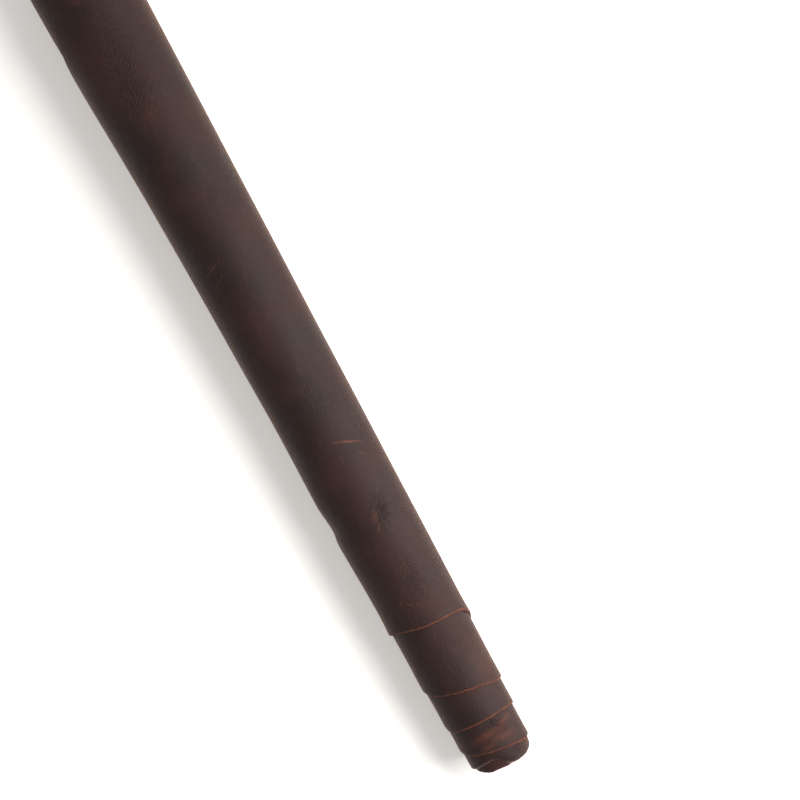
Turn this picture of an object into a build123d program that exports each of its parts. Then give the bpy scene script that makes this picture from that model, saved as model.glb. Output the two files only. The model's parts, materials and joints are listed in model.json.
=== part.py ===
from build123d import *
import math
import os

os.makedirs("parts", exist_ok=True)

# A brush roll case: one long sheet of oil-tanned leather, rolled up tight and left to lie
# on its side.  The turns have slid out of each other at one end, and the roll is a little
# slacker at the other, so it tapers.
#
# Frame: +X runs along the roll to the end where the inner turns stick out, +Z is up, and
# the origin is at the bottom centre of the whole object.  All sizes are in millimetres.
#
# A place along the sheet is its turn coordinate n: 0 is the left side (-Y) of the outermost
# turn, and n grows by one for each turn inwards, over the top, down the right side and back
# underneath.

# Driving dimensions
LEATHER = 0.85  # thickness of the wrap
PANEL = 0.7  # thickness of the thinner leather of the pocket panel and the guard flap
SHEET_WIDTH = 450.0  # the sheet's size along the roll
TAPER = 0.000713  # how much the section shrinks per millimetre along +X
HEIGHT = 39.0  # height of the outermost turn at the first cut edge
HALF_FLAT = 3.0  # half the width of the flat that the roll has settled onto
PITCH = 0.95  # how much a turn's radius shrinks per turn, where the wrap is bare
PANEL_PITCH = 2.2  # the same, where the pocket panel or guard flap is rolled in with it
FREE_EDGE = -1 / 15  # turn coordinate of the wrap's free outer edge
PANEL_START = 4.3  # turn coordinate where the pocket panel and guard flap begin
ROLL_END = 8.55  # turn coordinate of the wrap's innermost edge
CORNER_CUT = 97.0  # how far the outer far corner of the hide is rounded away along X
CORNER_TURNS = 0.25  # the turn coordinate where that rounding begins
CORNER_CURVE = 0.65  # 1 would be a straight cut; less makes the corner rounder

FLAP_SEGMENTS = 10  # straightening lines in the part of the outermost turn that opens
FLAP_STEP = 28.0  # degrees of bend between two of those lines

POCKET_DEPTH = 190.0  # from the wrap's far edge to the pockets' mouth
GUARD_DEPTH = 150.0  # from the near edge to the free edge of the guard flap
POCKETS = 11  # pockets side by side
PANEL_GAP = 0.2  # air between the wrap and the panel that is sewn to it
THREAD = 0.2  # how far a flat-waxed thread stands proud of the panel
THREAD_WIDTH = 0.9
THREAD_GAP = 0.05  # between a panel and the thread that lies on it
SEAM_INSET = 4.0  # from a panel's edge to its seam
POINT_SPACING = 12.0  # degrees between the points that carry a curve

# How far the near cut edge has slid out along X, at a few turn coordinates
SLIDE = [
    (-0.1, -7.0),
    (0.25, 0.0),
    (0.5, 5.0),
    (1.0, 30.5),
    (1.5, 45.5),
    (2.25, 59.0),
    (2.75, 65.0),
    (3.25, 77.0),
    (3.75, 82.0),
    (4.25, 89.0),
    (4.75, 82.0),
    (ROLL_END, 78.0),
]


def slope(points, i):
    """The slope of a smooth line through the points, at point i."""
    before = points[max(i - 1, 0)]
    after = points[min(i + 1, len(points) - 1)]
    return (after[1] - before[1]) / (after[0] - before[0])


def smooth_through(points, n):
    """The height at n of a smooth line through the points."""
    i = 0
    while i < len(points) - 2 and n > points[i + 1][0]:
        i += 1
    start, height = points[i]
    run = points[i + 1][0] - start
    rise = points[i + 1][1] - height
    t = (n - start) / run
    leaving = slope(points, i) * run
    arriving = slope(points, i + 1) * run
    bend = (leaving - rise) * (1 - t) - (arriving - rise) * t
    return height + t * rise + t * (1 - t) * bend


def near_edge(n):
    """Where the sheet ends along X, at the end where the turns have slid out."""
    return smooth_through(SLIDE, n)


def far_edge(n):
    """Where it ends at the other end: one sheet width back, with the outer corner rounded."""
    cut = max(0.0, (CORNER_TURNS - n) / CORNER_TURNS) ** CORNER_CURVE * CORNER_CUT
    if n < CORNER_TURNS:
        return near_edge(CORNER_TURNS) - SHEET_WIDTH + cut
    return near_edge(n) - SHEET_WIDTH


def radius(n):
    """Half the height of the roll at turn coordinate n, where X is 0."""
    bare = min(n, PANEL_START)
    lined = max(n - PANEL_START, 0.0)
    return HEIGHT / 2 - PITCH * bare - PANEL_PITCH * lined


def point(n, turn, x, depth):
    """A point of the roll, at a depth inside the wrap's grain side.

    Each turn starts and ends at the bottom flat: a quarter circle up the left side, half an
    ellipse over the top and a quarter circle down the right side.
    """
    size = 1 - TAPER * x
    r = radius(n)
    angle = math.radians(180 - 360 * n)
    along = n - turn + 0.25
    if 0.25 < along < 0.75:
        t = math.atan2(r * math.sin(angle), (r + HALF_FLAT) * math.cos(angle))
        y = (r + HALF_FLAT) * math.cos(t)
        z = r * math.sin(t)
    else:
        y = math.copysign(HALF_FLAT, along - 0.5) + r * math.cos(angle)
        z = r * math.sin(angle)
    y = size * y - depth * math.cos(angle)
    z = size * (z + radius(0.75)) - depth * math.sin(angle)
    return Vector(x, y, z)


def stretches(start, end):
    """The pieces of start..end between the bottom flats, each with the turn it is in."""
    turn = math.floor(start + 0.25 + 1e-9)
    while start < end - 1e-9:
        stop = min(end, turn + 0.75)
        yield start, stop, turn
        start = stop
        turn += 1


def ruled(first, second):
    return Face.make_surface_from_curves(first, second)


def tube_walls(curves):
    """The four long faces of a bent stretch, between its outer and inner curves at both ends."""
    outer_low, outer_high, inner_low, inner_high = curves
    return [
        ruled(outer_low, outer_high),
        ruled(inner_low, inner_high),
        ruled(outer_low, inner_low),
        ruled(outer_high, inner_high),
    ]


def flat_walls(right, left):
    """The four plane faces of a bottom flat, between its corners on the right and the left."""
    pairs = ((0, 1), (2, 3), (0, 2), (1, 3))
    return [Face(Wire.make_polygon([right[i], right[j], left[j], left[i]])) for i, j in pairs]


def sheet(start, end, depth, thick, low, high):
    """A closed piece of sheet from turn coordinate start to end.

    Its outer side is at the depth given inside the wrap's grain side, and low(n) and
    high(n) are where it ends along X.
    """
    faces = []
    sides = [(depth, low), (depth, high), (depth + thick, low), (depth + thick, high)]
    last = None
    for a, b, turn in stretches(start, end):
        if last is not None:
            right = [point(a, last, f(a), d) for d, f in sides]
            left = [point(a, turn, f(a), d) for d, f in sides]
            faces += flat_walls(right, left)
        steps = max(3, math.ceil((b - a) * 360 / POINT_SPACING))
        places = [a + (b - a) * i / steps for i in range(steps + 1)]
        curves = [Edge.make_spline([point(n, turn, f(n), d) for n in places]) for d, f in sides]
        faces += tube_walls(curves)
        last = turn
    for n, turn in ((start, math.floor(start + 0.25 + 1e-9)), (end, last)):
        corners = [point(n, turn, f(n), d) for d, f in sides]
        faces.append(ruled(Edge.make_line(*corners[:2]), Edge.make_line(*corners[2:])))
    return Solid(Shell(faces))


def hinge_turn(k):
    """Turn coordinate of straightening line k, counted from the bottom flat outwards."""
    return 0.75 - (k - 0.5) * FLAP_STEP / 360


def make_wrap_roll():
    """The wrap from the first straightening line, through the bottom flat, to its core."""
    return sheet(hinge_turn(1), ROLL_END, 0.0, LEATHER, far_edge, near_edge)


def make_flap_segment(k):
    """The wrap's outermost turn between two straightening lines."""
    outer = max(hinge_turn(k + 1), FREE_EDGE)
    return sheet(outer, hinge_turn(k), 0.0, LEATHER, far_edge, near_edge)


def panel_turns():
    return PANEL_START + 0.1, ROLL_END - 0.15


def make_pocket_panel():
    """The second layer of leather that makes the pockets, along the far edge."""
    start, end = panel_turns()
    depth = LEATHER + PANEL_GAP
    return sheet(start, end, depth, PANEL, lambda n: far_edge(n) + 2, lambda n: far_edge(n) + POCKET_DEPTH)


def make_guard_flap():
    """The soft flap along the near edge that folds over the brush tips."""
    start, end = panel_turns()
    depth = LEATHER + PANEL_GAP
    return sheet(start, end, depth, PANEL, lambda n: near_edge(n) - GUARD_DEPTH, lambda n: near_edge(n) - 2)


def thread(start, end, low, high):
    """A line of stitching on the inner side of a panel."""
    depth = LEATHER + PANEL_GAP + PANEL + THREAD_GAP
    return sheet(start, end, depth, THREAD, low, high)


def make_divider_stitching():
    """The lines of thread between the pockets, along the roll."""
    start, end = panel_turns()
    lines = []
    for i in range(1, POCKETS):
        n = start + (end - start) * i / POCKETS
        n = n + 0.05 if abs((n + 0.25) % 1 - 1) < 0.04 or (n + 0.25) % 1 < 0.04 else n
        half = THREAD_WIDTH / (4 * math.pi * radius(n))
        low = lambda n: far_edge(n) + 2 * SEAM_INSET
        high = lambda n: far_edge(n) + POCKET_DEPTH - 1
        lines.append(thread(n - half, n + half, low, high))
    return Compound(lines)


def make_pocket_seam():
    """The seam that closes the bottom of the pockets."""
    start, end = panel_turns()
    low = lambda n: far_edge(n) + SEAM_INSET
    high = lambda n: far_edge(n) + SEAM_INSET + THREAD_WIDTH
    return thread(start + 0.01, end - 0.01, low, high)


def make_guard_seam():
    """The seam that holds the guard flap to the wrap."""
    start, end = panel_turns()
    low = lambda n: near_edge(n) - SEAM_INSET - THREAD_WIDTH
    high = lambda n: near_edge(n) - SEAM_INSET
    return thread(start + 0.01, end - 0.01, low, high)


def sheet_length():
    """The wrap's length laid flat, measured along the middle of the roll."""
    steps = 2000
    x = -SHEET_WIDTH / 2
    total = 0.0
    for a, b, turn in stretches(FREE_EDGE, ROLL_END):
        places = [point(a + (b - a) * i / steps, turn, x, LEATHER / 2) for i in range(steps + 1)]
        total += sum((q - p).length for p, q in zip(places, places[1:]))
        total += 2 * HALF_FLAT * (1 - TAPER * x)
    return total


def make_all():
    parts = {"wrap_roll": make_wrap_roll()}
    for k in range(1, FLAP_SEGMENTS + 1):
        parts[f"wrap_flap_{k:02d}"] = make_flap_segment(k)
    parts["pocket_panel"] = make_pocket_panel()
    parts["guard_flap"] = make_guard_flap()
    parts["divider_stitching"] = make_divider_stitching()
    parts["pocket_seam"] = make_pocket_seam()
    parts["guard_seam"] = make_guard_seam()
    return parts


parts = make_all()
box = Compound(list(parts.values())).bounding_box()
ORIGIN = Vector((box.min.X + box.max.X) / 2, (box.min.Y + box.max.Y) / 2, 0)


def hinge_line(k):
    """A point on straightening line k, and its direction, in the object's frame."""
    n = hinge_turn(k)
    near = point(n, 0, near_edge(n), 0)
    far = point(n, 0, far_edge(n), 0)
    return (near + far) / 2 - ORIGIN, (far - near).normalized()


for name, shape in parts.items():
    moved = Pos(-ORIGIN.X, -ORIGIN.Y, -ORIGIN.Z) * shape
    moved.label = name
    export_step(moved, f"parts/{name}.step")

print("origin", tuple(round(v, 4) for v in ORIGIN))
print("box", box)
print("sheet length", round(sheet_length(), 1))
for k in range(1, FLAP_SEGMENTS + 1):
    place, line = hinge_line(k)
    print(k, [round(v, 4) for v in place], [round(v, 6) for v in line])
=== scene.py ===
# %% [markdown]
# # A brush roll case in oil-tanned leather
# The object is one long sheet of dark brown pull-up leather, rolled up tight and laid on its side.
# At one end the turns have slid out of each other, so five cut edges show like steps.
# A roll is a flat sheet that has been bent, so every piece here starts as a flat grid and one
# function, `rolled`, says where each point of the sheet lies in the roll.

# %% Load the frame
import json
import math

import bmesh
import bpy
from mathutils import Matrix, Vector, noise


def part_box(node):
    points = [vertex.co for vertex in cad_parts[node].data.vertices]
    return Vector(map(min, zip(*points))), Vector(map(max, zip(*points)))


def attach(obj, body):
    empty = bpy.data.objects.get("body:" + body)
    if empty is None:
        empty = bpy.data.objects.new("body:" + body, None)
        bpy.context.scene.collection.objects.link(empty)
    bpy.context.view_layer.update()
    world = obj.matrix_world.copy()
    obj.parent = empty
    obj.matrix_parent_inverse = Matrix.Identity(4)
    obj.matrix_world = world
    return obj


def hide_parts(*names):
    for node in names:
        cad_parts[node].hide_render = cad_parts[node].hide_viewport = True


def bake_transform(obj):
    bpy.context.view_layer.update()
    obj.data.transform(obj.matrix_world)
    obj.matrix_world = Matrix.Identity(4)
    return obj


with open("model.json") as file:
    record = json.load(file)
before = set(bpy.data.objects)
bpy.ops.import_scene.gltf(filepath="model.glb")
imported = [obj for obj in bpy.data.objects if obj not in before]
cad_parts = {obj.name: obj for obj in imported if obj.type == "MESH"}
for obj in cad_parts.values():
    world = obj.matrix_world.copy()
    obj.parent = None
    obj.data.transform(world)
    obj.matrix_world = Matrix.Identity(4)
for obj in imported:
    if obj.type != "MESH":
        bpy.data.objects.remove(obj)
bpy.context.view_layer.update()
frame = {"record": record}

# %% [markdown]
# ## The roll's own dimensions
# The leather is 0.85 mm thick.  A place on the sheet is a turn coordinate n, which grows by one
# for each turn inwards, and a place x along the roll.  The whole numbers lie on the left side, the
# halves on the right, and 0.25 more than a whole number is on top.  The section is a little
# flattened where the roll has settled onto the table, and it shrinks towards the stepped end, so
# the roll is a cone.  These are the design's driving dimensions, in metres.

# %% Driving dimensions
MM = 0.001
LEATHER = 0.85 * MM
PANEL = 0.7 * MM  # the thinner leather of the pocket panel and the guard flap
SHEET_WIDTH = 450 * MM
TAPER = 0.713  # share of the section lost per metre along +X
HALF_HEIGHT = 19.5 * MM  # of the outermost turn at the first cut edge
HALF_FLAT = 3 * MM  # half the width of the flat underneath
PITCH = 0.95 * MM  # how much a turn's radius shrinks per turn, where the wrap is bare
PANEL_PITCH = 2.2 * MM  # the same, where a panel is rolled in with it
FREE_EDGE = -1 / 15  # turn coordinate of the wrap's outer edge
PANEL_START = 4.3  # turn coordinate where the panels begin
ROLL_END = 8.55  # turn coordinate of the wrap's innermost edge
SEGMENTS = 10  # straightening segments of the turn that opens
STEP = 28 / 360  # one of them, in turns
BOTTOM = 0.75  # turn coordinate of the bottom flat
CORNER_CUT = 97 * MM  # how far the outer far corner of the hide is rounded away
CORNER_TURNS = 0.25  # turn coordinate where that rounding begins
CORNER_CURVE = 0.65  # 1 would be a straight cut; less makes the corner rounder

near_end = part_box("wrap_roll")[1][0]
SHIFT_X = near_end - 89 * MM  # from the first cut edge's middle to the frame's origin
joints = frame["record"]["behaviour"]["joints"]
print("leather, mm", LEATHER / MM, "opening lines", len(joints))

# %% [markdown]
# ## Where the near cut edge lies
# A knife cut is never quite straight, and each turn has slid a little further than the last.
# A smooth line through a few listed places gives the whole edge: the upper half of each turn,
# which is seen, has more of them than the hidden underside.  The core's end is torn, so the edge
# is more uneven there.

# %% The cut edges
EDGE = [  # turn coordinate, x in mm
    (-0.1, -4.6), (0.0, -4.0), (0.1, -3.6), (0.17, -2.0), (0.25, 0.0), (0.34, 0.7), (0.41, 2.1),
    (0.46, 5.0), (0.51, 6.9), (0.58, 12.0), (0.75, 20.0), (1.0, 30.8), (1.05, 33.6), (1.11, 36.4),
    (1.18, 38.8), (1.29, 42.2), (1.4, 45.2), (1.47, 45.0), (1.75, 49.8), (2.0, 55.0), (2.06, 58.2),
    (2.14, 59.7), (2.25, 60.2), (2.46, 60.7), (2.75, 65.0), (3.0, 70.3), (3.06, 73.0), (3.13, 75.4),
    (3.26, 78.4), (3.41, 80.9), (3.48, 79.9), (3.75, 80.5), (4.0, 82.6), (4.1, 82.8), (4.2, 82.0),
    (4.225, 83.5), (4.25, 86.8), (4.29, 88.9), (4.36, 88.6), (4.46, 86.4), (4.75, 82.0),
    (4.95, 82.6), (5.06, 85.6), (5.15, 88.0), (5.25, 88.9), (5.35, 87.5), (5.46, 84.5), (6.0, 83.0),
    (ROLL_END, 80.0),
]
KNIFE = 0.35  # unevenness of the knife cut, mm
TORN = 1.5  # unevenness of the torn core, mm
TORN_FROM = 4.9  # turn coordinate where the core begins to be torn


def slope(points, i):
    before, after = points[max(i - 1, 0)], points[min(i + 1, len(points) - 1)]
    return (after[1] - before[1]) / (after[0] - before[0])


def smooth_through(points, n):
    """The height at n of a smooth line through the points."""
    i = 0
    while i < len(points) - 2 and n > points[i + 1][0]:
        i += 1
    (start, height), (stop, top) = points[i], points[i + 1]
    length = stop - start
    rise = top - height
    t = (n - start) / length
    leave = slope(points, i) * length - rise
    arrive = slope(points, i + 1) * length - rise
    return height + t * rise + t * (1 - t) * (leave * (1 - t) - arrive * t)


def near_edge(n):
    uneven = KNIFE if n < TORN_FROM else TORN
    return (smooth_through(EDGE, n) + uneven * noise.noise(Vector((n * 40, 3.1, 0.0)))) * MM


def far_edge(n):
    """The other cut edge, one sheet width back, with the outer corner of the hide rounded off."""
    if n < CORNER_TURNS:
        cut_in = ((CORNER_TURNS - n) / CORNER_TURNS) ** CORNER_CURVE
        return -SHEET_WIDTH + cut_in * CORNER_CUT
    return near_edge(n) - SHEET_WIDTH


print("near edge, turn by turn, mm", [round(near_edge(n) / MM, 1) for n in (0, 1, 2, 3, 4)])

# %% [markdown]
# ## Dents and loose edges
# Real rolls aren't perfect: the outer turn lifts a little at its cut edge, the whole roll has slow
# dents from the hands that rolled it, and the core's leather bends over at its end.  All turns
# share the same dents, so no turn pushes through the next one.

# %% Unevenness
SETTLED = [  # where the left side bulges out (+) or sags in (-): x and height, both in mm
    (-460, 0.3), (-381, 0.6), (-359, 0.1), (-337, -0.1), (-315, -0.65), (-293, -1.2), (-271, -1.6),
    (-238, -1.75), (-205, -1.55), (-172, -1.25), (-139, -1.3), (-117, -0.8), (-95, 0.0), (-84, 0.3),
    (-76, -0.5), (-69, -0.9), (-62, 0.4), (-51, 0.4), (-29, 0.1), (0, 0.2), (15, 0.4), (26, 0.8),
    (48, 0.8), (59, 1.0), (70, 1.2), (95, 1.5),
]
SIDE_SPREAD = 0.8  # how far round the left side reaches, in radians
HAND_DENT = 0.25 * MM
LIFT_REACH = 16 * MM  # how far back from its cut edge a turn stands off
DROOP_FROM = 3.9  # turn coordinate from which the core bends over at its end
LEFT_REACH, RIGHT_REACH = 3 * MM, 9 * MM  # how far back from its edge the bending starts
LEFT_DROOP, RIGHT_DROOP = 0.10, 0.44  # share of the radius lost at the very edge


def angle_of(n):
    """The way that a turn coordinate points, in radians: 0 is right, a quarter turn is up."""
    return math.radians(180 - 360 * n)


def dents(angle, x):
    """Slow unevenness of the whole roll, the same for every turn."""
    around = Vector((math.cos(angle), math.sin(angle), x * 14))
    place = min(max(x / MM, SETTLED[0][0]), SETTLED[-1][0])
    side = math.exp(-(((angle - math.pi) / SIDE_SPREAD) ** 2))
    return HAND_DENT * noise.noise(around) + smooth_through(SETTLED, place) * MM * side


def looseness(n):
    """How far a turn can lift: the free corner the most, the turns under it hardly at all."""
    if n >= 0.9:
        return 0.2 * MM
    return (0.55 if n > 0.15 else 0.85) * MM


def lift(n, x):
    """How far a turn stands off the one inside it, close to its own near cut edge."""
    back = max(0.0, 1 - (near_edge(n) - x) / LIFT_REACH)
    return looseness(n) * math.cos(angle_of(n)) ** 4 * back * back


def core_droop(n, x):
    """How much of the radius is lost where the core's leather bends over at its end."""
    if n < DROOP_FROM:
        return 0.0
    right = max(0.0, math.cos(angle_of(n) - 0.5))
    reach = LEFT_REACH + (RIGHT_REACH - LEFT_REACH) * right
    most = LEFT_DROOP + (RIGHT_DROOP - LEFT_DROOP) * right
    q = min(1.0, max(0.0, (x - near_edge(n) + reach) / reach))
    return most * (1 - math.sqrt(max(0.0, 1 - q * q)))


print("first turn lifts, mm", round(lift(0, near_edge(0)) / MM, 2))

# %% [markdown]
# ## From flat sheet to roll
# A turn is two half circles joined by a flat at the bottom, and the upper half is stretched to
# the same width, so that nothing shows a corner.  The unevenness fades out towards the
# underside, which lies flat on the table.

# %% The rolled shape
SIDEWAYS = 0.25  # how much of the core's droop narrows it sideways too


def radius(n):
    return HALF_HEIGHT - PITCH * min(n, PANEL_START) - PANEL_PITCH * max(n - PANEL_START, 0.0)


def rolled(n, turn, x, depth):
    """The point of the sheet at turn coordinate n and place x, at a depth below its grain side."""
    size = 1 - TAPER * x
    angle = angle_of(n)
    above_table = min(1.0, max(0.0, 0.5 + 0.5 * math.sin(angle) + 0.25))
    r = radius(n) + (dents(angle % (2 * math.pi), x) + lift(n, x)) * above_table
    along = n - turn + 0.25
    if 0.25 < along < 0.75:
        t = math.atan2(r * math.sin(angle), (r + HALF_FLAT) * math.cos(angle))
        y, z = (r + HALF_FLAT) * math.cos(t), r * math.sin(t)
    else:
        y = math.copysign(HALF_FLAT, along - 0.5) + r * math.cos(angle)
        z = r * math.sin(angle)
    shrink = 1 - core_droop(n, x)
    y = size * y * (1 - SIDEWAYS + SIDEWAYS * shrink) - depth * math.cos(angle)
    z = size * (z * shrink + radius(BOTTOM)) - depth * math.sin(angle)
    return Vector((x, y, z))


hinge_n = BOTTOM - 0.5 * STEP
hinge_x, hinge_y = joints[0]["pos_m"][:2]
SHIFT_Y = hinge_y - rolled(hinge_n, 0, hinge_x - SHIFT_X, 0).y
SHIFT = Vector((SHIFT_X, SHIFT_Y, 0))
print("frame shift, mm", [round(v / MM, 2) for v in SHIFT])

# %% [markdown]
# ## The sheet laid flat
# A cone unrolls into a fan, so the flat place of a point is a polar one.  It is used as the UV map,
# in metres, and the grain, scuffs and pull-up marks are drawn on it: they belong to the hide and
# go on without a break from piece to piece and turn to turn.

# %% Flat places
RUN_STEPS = 400
run_start = FREE_EDGE - 0.01  # a little before the free edge, so that the table covers it
run_at = [0.0]
for i in range(RUN_STEPS):
    n = run_start + (ROLL_END - run_start) * (i + 0.5) / RUN_STEPS
    once_round = 2 * math.pi * (radius(n) + HALF_FLAT / 2) + 2 * HALF_FLAT
    run_at.append(run_at[-1] + once_round * (ROLL_END - run_start) / RUN_STEPS)


def run(n):
    """Length of sheet from the free edge to n, where the roll has its full size."""
    place = min(max((n - run_start) / (ROLL_END - run_start), 0), 0.99999) * RUN_STEPS
    i = int(place)
    return run_at[i] + (run_at[i + 1] - run_at[i]) * (place - i)


def flat_place(n, x):
    reach = 1 / TAPER - x
    turn = run(n) * TAPER
    return reach * math.sin(turn), 1 / TAPER - reach * math.cos(turn)


print("sheet length, m", round(run(ROLL_END), 3))

# %% [markdown]
# ## Finishes
# One function adds a node with its settings and links, and one turns an sRGB hex colour to the
# linear values that the shader wants.

# %% Nodes and colours
def colour(hex_code):
    """sRGB hex to linear RGBA."""
    parts = [int(hex_code[i : i + 2], 16) / 255 for i in (1, 3, 5)]
    return [c / 12.92 if c <= 0.04045 else ((c + 0.055) / 1.055) ** 2.4 for c in parts] + [1.0]


def add(material, kind, settings=None, **links):
    """Add a node: settings go to its sockets or properties, links name or hold its inputs."""
    node = material.node_tree.nodes.new(kind)
    for key, value in (settings or {}).items():
        if isinstance(key, int) or key in node.inputs:
            node.inputs[key].default_value = value
        else:
            setattr(node, key, value)
    for key, source in links.items():
        slot = int(key[1:]) if key[0] == "i" and key[1:].isdigit() else key.replace("_", " ")
        material.node_tree.links.new(source, node.inputs[slot])
    return node


def fill(material, node, slots):
    """Give each numbered slot of a node a fixed value or a link."""
    for slot, value in slots.items():
        if isinstance(value, (float, list)):
            node.inputs[slot].default_value = value
        else:
            material.node_tree.links.new(value, node.inputs[slot])


def new_material(name):
    material = bpy.data.materials.new(name)
    material.use_nodes = True
    material.node_tree.nodes.clear()
    return material


print("dark brown, linear", [round(c, 4) for c in colour("#271512")])

# %% Small sums with nodes
def ramp(material, source, stops):
    """A colour ramp from (position, hex) stops."""
    node = add(material, "ShaderNodeValToRGB", i0=source)
    band = node.color_ramp
    while len(band.elements) < len(stops):
        band.elements.new(0.5)
    for element, (place, hex_code) in zip(band.elements, stops):
        element.position = place
        element.color = colour(hex_code)
    return node.outputs["Color"]


def stretch(material, source, low, high, to_low=0.0, to_high=1.0, kind="SMOOTHSTEP"):
    """Stretch low..high of a value to another range."""
    settings = {"interpolation_type": kind, 1: low, 2: high, 3: to_low, 4: to_high}
    return add(material, "ShaderNodeMapRange", settings, i0=source).outputs[0]


def mix(material, amount, first, second):
    node = add(material, "ShaderNodeMix", {"data_type": "RGBA"})
    fill(material, node, {0: amount, 6: first, 7: second})
    return node.outputs[2]


def combine(material, first, second, operation="MULTIPLY"):
    node = add(material, "ShaderNodeMath", {"operation": operation})
    fill(material, node, {0: first, 1: second})
    return node.outputs[0]


def speckle(material, place, scale, detail, roughness=0.5):
    """A noise value: scale is in patches per metre, so 1000 gives patches 1 mm wide."""
    settings = {"Scale": float(scale), "Detail": float(detail), "Roughness": roughness}
    return add(material, "ShaderNodeTexNoise", settings, Vector=place).outputs[0]


def hide_place(material):
    return add(material, "ShaderNodeUVMap", {"uv_map": "hide"}).outputs[0]


print("a scale of 28 gives patches", round(1000 / 28), "mm wide")

# %% [markdown]
# ### Marks on the hide
# A few marks catch the eye: scratches that show the rust-brown dye, a scuff on the third step, and
# patches where the grain stands proud.  Each is an oval with a ragged rim, placed by its turn
# coordinate and its x, and all of a list make one grey value.

# %% Marks
# Each scratch or rub: turn coordinate, x in mm, length and width in mm, turn in degrees, strength
MARKS = [
    (0.186, -226, 9.0, 0.8, 72, 0.42),
    (0.193, -219, 8.0, 0.7, 52, 0.32),
    (0.304, -109, 10.5, 1.2, -62, 0.8),
    (0.33, -100, 5.0, 0.8, -52, 0.28),
    (0.262, -66, 6.0, 2.2, 28, 0.36),
    (0.256, -60, 5.0, 1.6, 28, 0.3),
    (0.197, -18.0, 1.8, 1.1, 28, 0.42),
    (0.222, -15.4, 2.4, 0.9, -40, 0.5),
    (0.247, -13.6, 1.5, 1.1, 10, 0.45),
    (0.203, -11.0, 5.0, 0.6, 26, 0.2),
    (0.25, -315, 8.0, 6.0, 10, 0.12),
    (0.22, -387, 4.0, 2.4, -50, 0.24),
    (0.36, -20, 9.0, 0.7, -30, 0.14),
    (3.24, 68, 16.0, 4.0, -78, 0.5),
    (3.29, 72, 12.0, 3.6, -66, 0.46),
    (3.33, 65, 10.0, 3.0, -88, 0.4),
    (3.22, 74, 9.0, 3.0, -80, 0.36),
    (1.375, 31.5, 24.0, 13.0, 20, 0.2),
    (1.2, 34.0, 16.0, 7.0, 10, 0.12),
]
# Each patch where the grain stands proud, in the same way
PEBBLED = [
    (0.24, -338, 60.0, 18.0, 8, 1.0),
    (0.3, -262, 16.0, 8.0, 30, 0.6),
    (0.29, -68, 17.0, 8.0, 20, 0.9),
    (0.266, -27, 24.0, 12.0, 10, 0.8),
    (1.3, 14, 10.0, 8.0, 0, 0.5),
    (3.28, 64, 14.0, 9.0, 0, 1.0),
    (4.33, 82, 8.0, 6.0, 0, 1.0),
]


def mark_field(material, uv, marks):
    """All marks of a list as one grey value."""
    ragged = speckle(material, uv, 420, 5, 0.7)
    total = None
    for n, x, length, width, turned, strength in marks:
        place = add(material, "ShaderNodeMapping", {"vector_type": "TEXTURE"}, Vector=uv)
        place.inputs["Location"].default_value = (*flat_place(n, x * MM), 0)
        place.inputs["Rotation"].default_value = (0, 0, math.radians(turned))
        place.inputs["Scale"].default_value = (width * MM, length * MM, 1)
        ball = add(material, "ShaderNodeVectorMath", {"operation": "LENGTH"}, i0=place.outputs[0])
        rough = combine(material, ball.outputs["Value"], combine(material, ragged, 1.5), "ADD")
        spot = stretch(material, rough, 1.75, 0.55, 0.0, strength)
        total = spot if total is None else combine(material, total, spot, "MAXIMUM")
    return total


print("marks", len(MARKS), "pebbled patches", len(PEBBLED))

# %% [markdown]
# ### Pull-up leather
# Full-grain cowhide, drum-dyed rust brown, then stuffed with oils and waxes and tinted nearly
# black-brown.  Where it is bent or rubbed the oil moves away and the rust dye shows through, and
# where it was stretched it goes greyer.  The eye reads three scales: slow clouds some centimetres
# wide, fine pebble grain about 0.6 mm apart that is strong in some patches and ironed smooth in
# others, and a few scratches and rubs.  A warm sheen stands for the wax bloom at a flat angle.

# %% Pull-up leather
def leather_colour(m, uv, streaks):
    """Slow clouds of dark brown, with rust where the oil has moved away."""
    clouds = speckle(m, uv, 28, 3, 0.55)  # 36 mm wide
    wide = speckle(m, uv, 11, 2)  # 90 mm wide
    base = ramp(m, clouds, [(0.28, "#1d100e"), (0.5, "#271512"), (0.72, "#311c18")])
    base = mix(m, combine(m, stretch(m, wide, 0.52, 0.74), 0.35), base, colour("#42211a"))
    base = mix(m, combine(m, stretch(m, streaks, 0.55, 0.8), 0.22), base, colour("#52362c"))
    return base, stretch(m, clouds, 0.3, 0.7, 0.6, 0.72, "LINEAR")


def pebble_grain(m, uv):
    """Height of the grain, 0 on the pebbles and up in the valleys between them."""
    settings = {"feature": "SMOOTH_F1", "Scale": 1750.0, "Smoothness": 0.3}  # 0.57 mm apart
    pebble = add(m, "ShaderNodeTexVoronoi", settings, Vector=uv)
    patch = stretch(m, speckle(m, uv, 19, 2), 0.42, 0.68, 0.1, 0.38)
    proud = combine(m, patch, mark_field(m, uv, PEBBLED), "MAXIMUM")
    bumps = combine(m, pebble.outputs["Distance"], proud)
    pores = speckle(m, uv, 2600, 2)  # 0.4 mm wide
    return combine(m, bumps, combine(m, pores, 0.25), "ADD")


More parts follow.
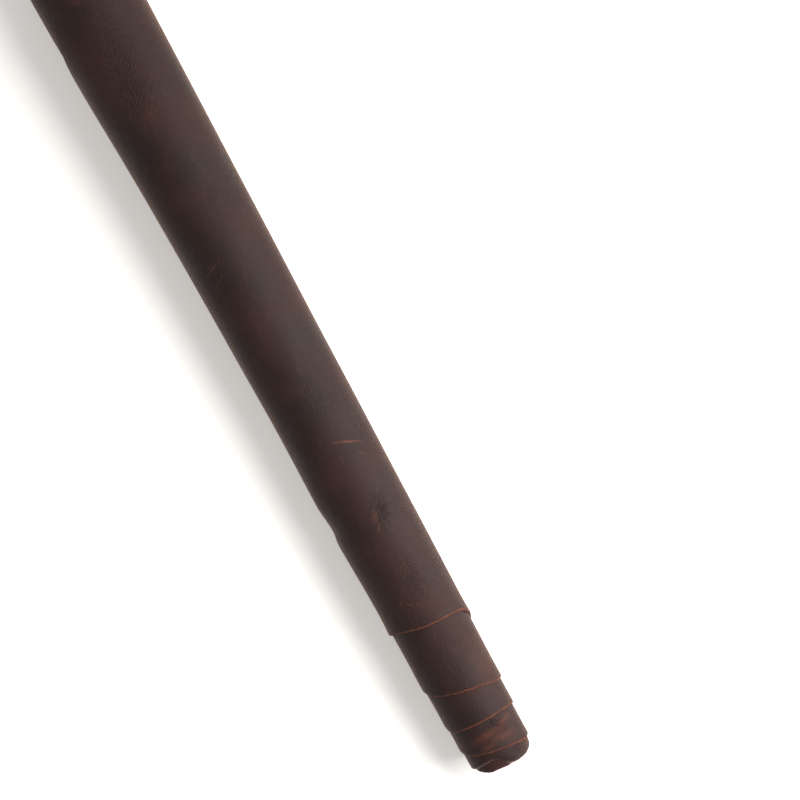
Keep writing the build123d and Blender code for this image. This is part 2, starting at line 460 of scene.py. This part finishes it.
def make_pull_up_leather():
    m = new_material("pull_up_leather")
    uv = hide_place(m)
    streak_space = add(m, "ShaderNodeMapping", {"Scale": (1.0, 0.32, 1.0)}, Vector=uv)
    streaks = speckle(m, streak_space.outputs[0], 230, 4, 0.6)  # 4 mm wide and 14 mm long
    base, waxed = leather_colour(m, uv, streaks)
    bumps = pebble_grain(m, uv)
    base = mix(m, combine(m, stretch(m, bumps, 0.25, 0.85), 0.5), base, colour("#100806"))
    base = mix(m, combine(m, mark_field(m, uv, MARKS), 0.6), base, colour("#7a4230"))
    settings = {"Strength": 1.0, "Distance": 0.0006, "invert": True}
    bump = add(m, "ShaderNodeBump", settings, Height=bumps)
    settings = {"Strength": 0.25, "Distance": 0.0006}
    soft = add(m, "ShaderNodeBump", settings, Height=streaks, Normal=bump.outputs[0])
    settings = {"IOR": 1.45, "Specular IOR Level": 0.34, "Sheen Weight": 0.8,
                "Sheen Roughness": 0.3, "Sheen Tint": colour("#e8bca4")}
    shader = add(m, "ShaderNodeBsdfPrincipled", settings, Base_Color=base, Roughness=waxed,
                 Normal=soft.outputs[0])
    add(m, "ShaderNodeOutputMaterial", Surface=shader.outputs[0])
    return m


grain = make_pull_up_leather()
print(grain.name, "nodes", len(grain.node_tree.nodes))

# %% [markdown]
# ### Raw cut edge, flesh side and thread
# The knife lays open fibre that the dark tint never reached: a matt rust orange, with dark flecks
# where the tint ran in.  The flesh side is a short brown nap.  The thread is waxed linen.  All
# three are a colour with a fine bump, so one function finishes them.

# %% Edge, flesh and thread
def finish_with(m, base, height, strength, distance, settings):
    """A plain rough shader with a bump."""
    bump = add(m, "ShaderNodeBump", {"Strength": strength, "Distance": distance}, Height=height)
    shader = add(m, "ShaderNodeBsdfPrincipled", settings, Base_Color=base, Normal=bump.outputs[0])
    add(m, "ShaderNodeOutputMaterial", Surface=shader.outputs[0])
    return m


def make_cut_edge():
    m = new_material("raw_cut_edge")
    where = add(m, "ShaderNodeTexCoord").outputs["Object"]
    fibre = speckle(m, where, 1400, 3, 0.7)  # tufts of 0.7 mm
    patchy = stretch(m, speckle(m, where, 160, 2), 0.5, 0.7)  # 6 mm wide
    base = ramp(m, fibre, [(0.32, "#2b140d"), (0.5, "#552818"), (0.7, "#7c472f")])
    base = mix(m, combine(m, patchy, 0.5), base, colour("#2e150d"))
    return finish_with(m, base, fibre, 0.6, 0.0001, {"Roughness": 0.85, "IOR": 1.45})


def make_flesh_side():
    m = new_material("leather_flesh_side")
    uv = hide_place(m)
    nap = speckle(m, uv, 1300, 4, 0.7)  # tufts of 0.8 mm
    rubs = stretch(m, speckle(m, uv, 35, 3), 0.45, 0.7)  # 29 mm wide
    base = ramp(m, nap, [(0.3, "#3c231a"), (0.5, "#5b382a"), (0.72, "#775041")])
    base = mix(m, combine(m, rubs, 0.4), base, colour("#6f4a3a"))
    return finish_with(m, base, nap, 0.5, 0.00015, {"Roughness": 0.92, "Sheen Weight": 0.3})


def make_waxed_thread():
    m = new_material("waxed_thread")
    where = add(m, "ShaderNodeTexCoord").outputs["Object"]
    settings = {"Scale": 900.0, "Distortion": 1.0, "bands_direction": "DIAGONAL"}
    ply = add(m, "ShaderNodeTexWave", settings, Vector=where)
    base = ramp(m, ply.outputs["Color"], [(0.2, "#3b2415"), (0.8, "#7a5335")])
    return finish_with(m, base, ply.outputs["Fac"], 0.5, 0.0001, {"Roughness": 0.6})


cut = make_cut_edge()
flesh = make_flesh_side()
linen = make_waxed_thread()
print("materials", [m.name for m in (grain, cut, flesh, linen)])

# %% [markdown]
# ## A piece of rolled sheet
# The piece starts as a flat grid of unit size.  Its columns run along the roll and its rows across
# it.  Extruding the grid's faces gives the leather its thickness, as a closed shell: grain side,
# flesh side and a rim.  Each point carries its column, its row and its side, so that it can be
# moved to where the roll has it.  The rows crowd together at the cut edges, where the last
# millimetre is rounded over by wear and takes the raw edge's colour.

# %% Rows and wear
WORN = 1.0 * MM  # width of the worn, rust-coloured band along a cut edge
WORN_DEPTH = 0.62  # share of the thickness that wear has rounded away at the very edge
CORE_FROM = 3.95  # the core's end is bent over rather than cut, so no rust band shows there


def rows(spread, count):
    """Distances from the near edge: the worn band, then wider and wider steps."""
    band = [0.0, 0.35 * WORN, WORN, 1.6 * WORN]
    rest = [band[-1] + (spread - 2 * band[-1]) * (i / count) ** 1.35 for i in range(1, count + 1)]
    return band + rest + [spread - WORN, spread - 0.35 * WORN, spread]


def worn_depth(distance, thick):
    """How far the grain side has been rounded down, near a cut edge."""
    q = min(1.0, max(0.0, 1 - distance / WORN))
    return WORN_DEPTH * thick * q * q


print("rows from the edge, mm", [round(d / MM, 2) for d in rows(SHEET_WIDTH, 60)[:6]])

# %% Shell and finishing
def numbered_shell(along, across):
    """A closed flat shell whose points know their column, row and side (1 is the flesh side)."""
    bm = bmesh.new()
    bmesh.ops.create_grid(bm, x_segments=along, y_segments=across, size=0.5)
    column_of = bm.verts.layers.int.new("column")
    row_of = bm.verts.layers.int.new("row")
    side_of = bm.verts.layers.int.new("side")
    for v in bm.verts:
        v[column_of] = round((v.co.x + 0.5) * along)
        v[row_of] = round((v.co.y + 0.5) * across)
    shell = bmesh.ops.extrude_face_region(bm, geom=bm.faces[:], use_keep_orig=True)
    for v in shell["geom"]:
        if isinstance(v, bmesh.types.BMVert):
            v[side_of] = 1
    return bm, column_of, row_of, side_of


def finished(name, bm, materials):
    """The bmesh as an object of the scene."""
    mesh = bpy.data.meshes.new(name)
    bm.to_mesh(mesh)
    bm.free()
    for material in materials:
        mesh.materials.append(material)
    piece = bpy.data.objects.new(name, mesh)
    bpy.context.scene.collection.objects.link(piece)
    return piece


trial, *layers = numbered_shell(2, 3)
print("a shell of 2 by 3 faces has", len(trial.faces), "faces and", len(layers), "layers")
trial.free()

# %% [markdown]
# The rim of a cut edge shows the raw fibre, and so does the worn band beside it on the grain side.
# The rim at a seam between two pieces isn't a cut at all, so it keeps the grain's finish.

# %% One piece of sheet
GRAIN_SLOT, FLESH_SLOT, CUT_SLOT = 0, 1, 2


def make_sheet(name, columns, low, high, count, depth=0.0, thick=LEATHER, free=False,
               cut_end=True):
    """A closed shell of leather.

    columns are (n, turn) pairs, low(n) and high(n) the ends along X, and count the rows between.
    free says that the first column is a cut edge too, and cut_end that the last one is.
    """
    across = len(rows(1.0, count)) - 1
    along = len(columns) - 1
    bm, column_of, row_of, side_of = numbered_shell(along, across)
    spreads = [rows(high(n) - low(n), count) for n, turn in columns]
    hide = bm.loops.layers.uv.new("hide")
    for v in bm.verts:
        n, turn = columns[v[column_of]]
        back = spreads[v[column_of]][v[row_of]]
        full = high(n) - low(n)
        worn = worn_depth(min(back, full - back), thick)
        if free:
            worn = max(worn, worn_depth(abs(run(n) - run(columns[0][0])), thick))
        inside = thick if v[side_of] else worn
        v.co = rolled(n, turn, high(n) - back, depth + inside) + SHIFT
    bmesh.ops.recalc_face_normals(bm, faces=bm.faces[:])

    def slot_of(face, sides):
        places = {v[column_of] for v in face.verts}
        edge_rows = [v[row_of] for v in face.verts]
        if places == {0} and not free or places == {along} and not cut_end:
            return GRAIN_SLOT
        if len(sides) == 2:
            return CUT_SLOT
        if 0 not in sides:
            return FLESH_SLOT
        near = max(edge_rows) <= 2 or min(edge_rows) >= across - 2
        near = near and columns[max(places)][0] < CORE_FROM
        return CUT_SLOT if near or free and max(places) <= 2 else GRAIN_SLOT

    for face in bm.faces:
        sides = {v[side_of] for v in face.verts}
        face.material_index = slot_of(face, sides)
        face.smooth = len(sides) == 1
        for loop in face.loops:
            n, turn = columns[loop.vert[column_of]]
            back = spreads[loop.vert[column_of]][loop.vert[row_of]]
            loop[hide].uv = flat_place(n, high(n) - back)
    for edge in bm.edges:
        edge.smooth = len({face.smooth for face in edge.link_faces}) == 1
    piece = finished(name, bm, (grain, flesh, cut))
    print(name, "faces", len(piece.data.polygons))
    return piece


def turn_columns(start, end, per_turn):
    """(n, turn) columns from start to end, with both corners of each bottom flat."""
    columns = []
    turn = math.floor(start + 0.25 + 1e-9)
    n = start
    while n < end - 1e-9:
        stop = min(end, turn + BOTTOM)
        steps = max(2, math.ceil((stop - n) * per_turn))
        columns += [(n + (stop - n) * i / steps, turn) for i in range(steps + 1)]
        n = stop
        turn += 1
    return columns


# %% [markdown]
# ## The wrap
# The inner turns never move, so they are one rigid piece.  It begins at the bottom flat, where the
# outermost turn lies on the table.

# %% Inner turns of the wrap
OUTER_COLUMNS, INNER_COLUMNS = 52, 34  # per turn; the small inner turns need fewer
FINE_UNTIL = 4.75
WRAP_ROWS = 62
outer_turns = turn_columns(BOTTOM + 1e-9, FINE_UNTIL, OUTER_COLUMNS)
inner_turns = turn_columns(FINE_UNTIL + 1e-9, ROLL_END, INNER_COLUMNS)
bottom_corner = [(BOTTOM, 0)]
wrap_columns = bottom_corner + outer_turns + inner_turns
inner_wrap = make_sheet("wrap_inner_turns", wrap_columns, far_edge, near_edge, WRAP_ROWS)
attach(inner_wrap, "roll")
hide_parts("wrap_roll")

# %% [markdown]
# ## The outer turn, which opens
# The outer turn straightens at ten lines.  One piece crosses each line, from the middle of one
# strip to the middle of the next, so the seams between pieces lie where nothing bends.  The
# columns get narrower towards each seam, which gives both neighbours the same shading there.

# %% Columns of the outer turn
LAP = 0.00003  # of a turn, 0.004 mm: neighbours overlap by this much, so that no light gets through
WORN_TURN = WORN / (run(1) - run(0))  # the worn band, in turns
FREE_STEPS = 5  # columns between the worn band of the free edge and the last hinge line's piece
BEND_STEPS = 7  # wide columns in a bending piece
BEND_ROWS = 110


def bend_columns(start, end, steps):
    widths = [1, 2.5, 5] + [8] * steps + [5, 2.5, 1]
    sums = [sum(widths[:i]) / sum(widths) for i in range(len(widths) + 1)]
    start, end = start - LAP, end + LAP
    return [(start + (end - start) * share, 0) for share in sums]


free_start = FREE_EDGE + 1.6 * WORN_TURN
last_line = BOTTOM - SEGMENTS * STEP
free_columns = [(FREE_EDGE + WORN_TURN * q, 0) for q in (0, 0.35, 1)]
free_columns += [(free_start + (last_line - free_start) * i / FREE_STEPS, 0)
                 for i in range(FREE_STEPS)]
print("free edge columns", [round(n, 4) for n, turn in free_columns])


# %% Pieces of the wrap across the ten lines
def strip(k):
    """The body that carries strip k: 0 is the roll itself."""
    return "roll" if k == 0 else f"wrap_flap_{k:02d}"


def middle(n):
    """The middle of a line along the roll, on the grain side."""
    return rolled(n, 0, (near_edge(n) + far_edge(n)) / 2, 0) + SHIFT


for k in range(1, SEGMENTS + 1):
    start, end = BOTTOM - (k - 1) * STEP, BOTTOM - k * STEP
    columns = bend_columns(end, start, BEND_STEPS)
    if k == SEGMENTS:
        columns = free_columns + columns
    piece = make_sheet(f"wrap_bend_{k:02d}", columns, far_edge, near_edge, BEND_ROWS,
                       free=k == SEGMENTS, cut_end=False)
    a, b = middle(start), middle(end)
    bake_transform(piece)
    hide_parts(strip(k))

# %% [markdown]
# ## What is rolled up inside
# A second, thinner layer of leather makes the pockets along one edge, and a guard flap lies along
# the other.  They start where the core starts, and stop just short of the wrap's innermost edge.

# %% Pocket panel and guard flap
GAP = 0.2 * MM  # air between the wrap and the panel that is sewn to it
HEM = 2 * MM  # from a panel's outer edge to the wrap's cut edge
POCKET_DEPTH = 188 * MM
GUARD_DEPTH = 148 * MM
PANEL_ROWS = 26
PANEL_FIRST = PANEL_START + 0.1
PANEL_LAST = ROLL_END - 0.15
panel_columns = turn_columns(PANEL_FIRST, PANEL_LAST, INNER_COLUMNS)
panel = make_sheet("pocket_panel_leather", panel_columns, lambda n: far_edge(n) + HEM,
                   lambda n: far_edge(n) + HEM + POCKET_DEPTH, PANEL_ROWS, LEATHER + GAP, PANEL)
guard = make_sheet("guard_flap_leather", panel_columns, lambda n: near_edge(n) - HEM - GUARD_DEPTH,
                   lambda n: near_edge(n) - HEM, PANEL_ROWS, LEATHER + GAP, PANEL)
for piece, node, width in ((panel, "pocket_panel", POCKET_DEPTH), (guard, "guard_flap", GUARD_DEPTH)):
    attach(piece, "roll")
    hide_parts(node)

# %% [markdown]
# ## Stitching
# Each stitch is a small rounded bar of thread on the panel's inner side, 3 mm long with 1 mm
# between stitches.  One bar is made from a cube and copied along each seam, and one bevel rounds
# them all.

# %% Stitches
STITCH, REST = 3.0 * MM, 1.0 * MM
THREAD_WIDTH, THREAD_HEIGHT = 0.8 * MM, 0.24 * MM
THREAD_DEPTH = LEATHER + GAP + PANEL + 0.14 * MM
POCKETS = 11
SEAM_INSET = 4.4 * MM  # from the wrap's cut edge to a seam


def stitch_on(n, x, ahead=None):
    """Place of a stitch, the way it runs (with the turn if not given) and the way it faces."""
    angle = angle_of(n)
    turn = math.floor(n + 0.25)
    here = rolled(n, turn, x, THREAD_DEPTH)
    if ahead is None:
        ahead = (rolled(n + 0.002, turn, x, THREAD_DEPTH) - here).normalized()
    return here + SHIFT, ahead, Vector((0, -math.cos(angle), -math.sin(angle)))


def divider(n):
    """Stitches of a seam along the roll, between two pockets."""
    start, length = far_edge(n) + 10 * MM, 176 * MM
    count = round(length / (STITCH + REST))
    return [stitch_on(n, start + i * (STITCH + REST), Vector((1, 0, 0))) for i in range(count)]


def along_turns(x_at):
    """Stitches of a seam that goes round with the turns."""
    places, n = [], PANEL_FIRST + 0.03
    while n < PANEL_LAST - 0.03:
        x = x_at(n)
        places.append(stitch_on(n, x))
        n += (STITCH + REST) / (2 * math.pi * radius(n) * (1 - TAPER * x))
    return places


def make_stitching(name, places, node):
    bm = bmesh.new()
    for place, ahead, out in places:
        side = out.cross(ahead).normalized()
        cube = bmesh.ops.create_cube(bm, size=1)["verts"]
        bmesh.ops.scale(bm, vec=(STITCH, THREAD_WIDTH, THREAD_HEIGHT), verts=cube)
        for v in cube:
            v.co = place + ahead * v.co.x + side * v.co.y + out * v.co.z
    bmesh.ops.bevel(bm, geom=bm.edges[:], offset=0.09 * MM, segments=1, affect="EDGES",
                    profile=0.5, material=-1)
    bmesh.ops.recalc_face_normals(bm, faces=bm.faces[:])
    piece = finished(name, bm, [linen])
    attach(piece, "roll")
    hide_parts(node)
    print(name, "stitches", len(places))


dividers = []
for i in range(1, POCKETS):
    dividers += divider(PANEL_FIRST + (PANEL_LAST - PANEL_FIRST) * i / POCKETS)
pocket_seam = along_turns(lambda n: far_edge(n) + SEAM_INSET)
guard_seam = along_turns(lambda n: near_edge(n) - SEAM_INSET)
make_stitching("divider_stitches", dividers, "divider_stitching")
make_stitching("pocket_seam_stitches", pocket_seam, "pocket_seam")
make_stitching("guard_seam_stitches", guard_seam, "guard_seam")

# %% [markdown]
# ## Table, light and camera
# A pale seamless table that glows faintly, so that it stays nearly white beside a dark object.
# One large soft light stands on the right, and an even white surround fills the shadows.  The
# camera looks straight down from high up, so the roll hardly changes width from perspective.

# %% Table
TABLE_DROP = 0.6 * MM  # the table lies this much below the roll, because the opened turn sags
table_bm = bmesh.new()
bmesh.ops.create_grid(table_bm, x_segments=1, y_segments=1, size=4.0)
pale = new_material("white_table")
settings = {"Base Color": colour("#f4f4f4"), "Roughness": 0.9,
            "Emission Color": colour("#fffaf3"), "Emission Strength": 0.36}
pale_shader = add(pale, "ShaderNodeBsdfPrincipled", settings)
add(pale, "ShaderNodeOutputMaterial", Surface=pale_shader.outputs[0])
table = finished("table", table_bm, [pale])
table.location.z = -TABLE_DROP
print("table, m", [round(v, 2) for v in table.dimensions])

# %% Camera
LENS, SENSOR = 100, 36  # both in mm
VIEW_WIDTH = 440 * MM  # width of table seen
VIEW_TURN = 61.3  # degrees from the roll's axis to the view's right-hand side
camera_data = bpy.data.cameras.new("camera")
camera_data.lens = LENS
camera_data.sensor_width = SENSOR
camera = bpy.data.objects.new("camera", camera_data)
height = VIEW_WIDTH * LENS / SENSOR + 22 * MM
camera.location = (SHIFT.x - 115.3 * MM, SHIFT.y + 44.3 * MM, height)
camera.rotation_euler = (0, 0, math.radians(VIEW_TURN))
bpy.context.scene.collection.objects.link(camera)
bpy.context.scene.camera = camera
print("camera height, m", round(height, 3))


# %% Lights
def add_light(name, place, aim, long_way, size, power, tint):
    """A soft rectangular light at place, aimed at a point, its long side along long_way."""
    data = bpy.data.lights.new(name, "AREA")
    data.shape = "RECTANGLE"
    data.size, data.size_y = size
    data.energy = power
    data.color = colour(tint)[:3]
    lamp = bpy.data.objects.new(name, data)
    back = (Vector(place) - Vector(aim)).normalized()
    up = back.cross(Vector(long_way)).normalized()
    lamp.matrix_world = Matrix((up.cross(back), up, back)).transposed().to_4x4()
    lamp.location = place
    bpy.context.scene.collection.objects.link(lamp)


add_light("window_right", place=(0.24, 0.58, 0.56), aim=(0.05, 0, 0.02), long_way=(-0.8, 0.05, 0.6),
          size=(0.8, 0.5), power=14, tint="#fffcf9")
world = bpy.data.worlds.new("surround")
world.use_nodes = True
world.node_tree.nodes["Background"].inputs[0].default_value = colour("#ffffff")
world.node_tree.nodes["Background"].inputs[1].default_value = 0.34
bpy.context.scene.world = world
bpy.context.scene.view_settings.view_transform = "Standard"
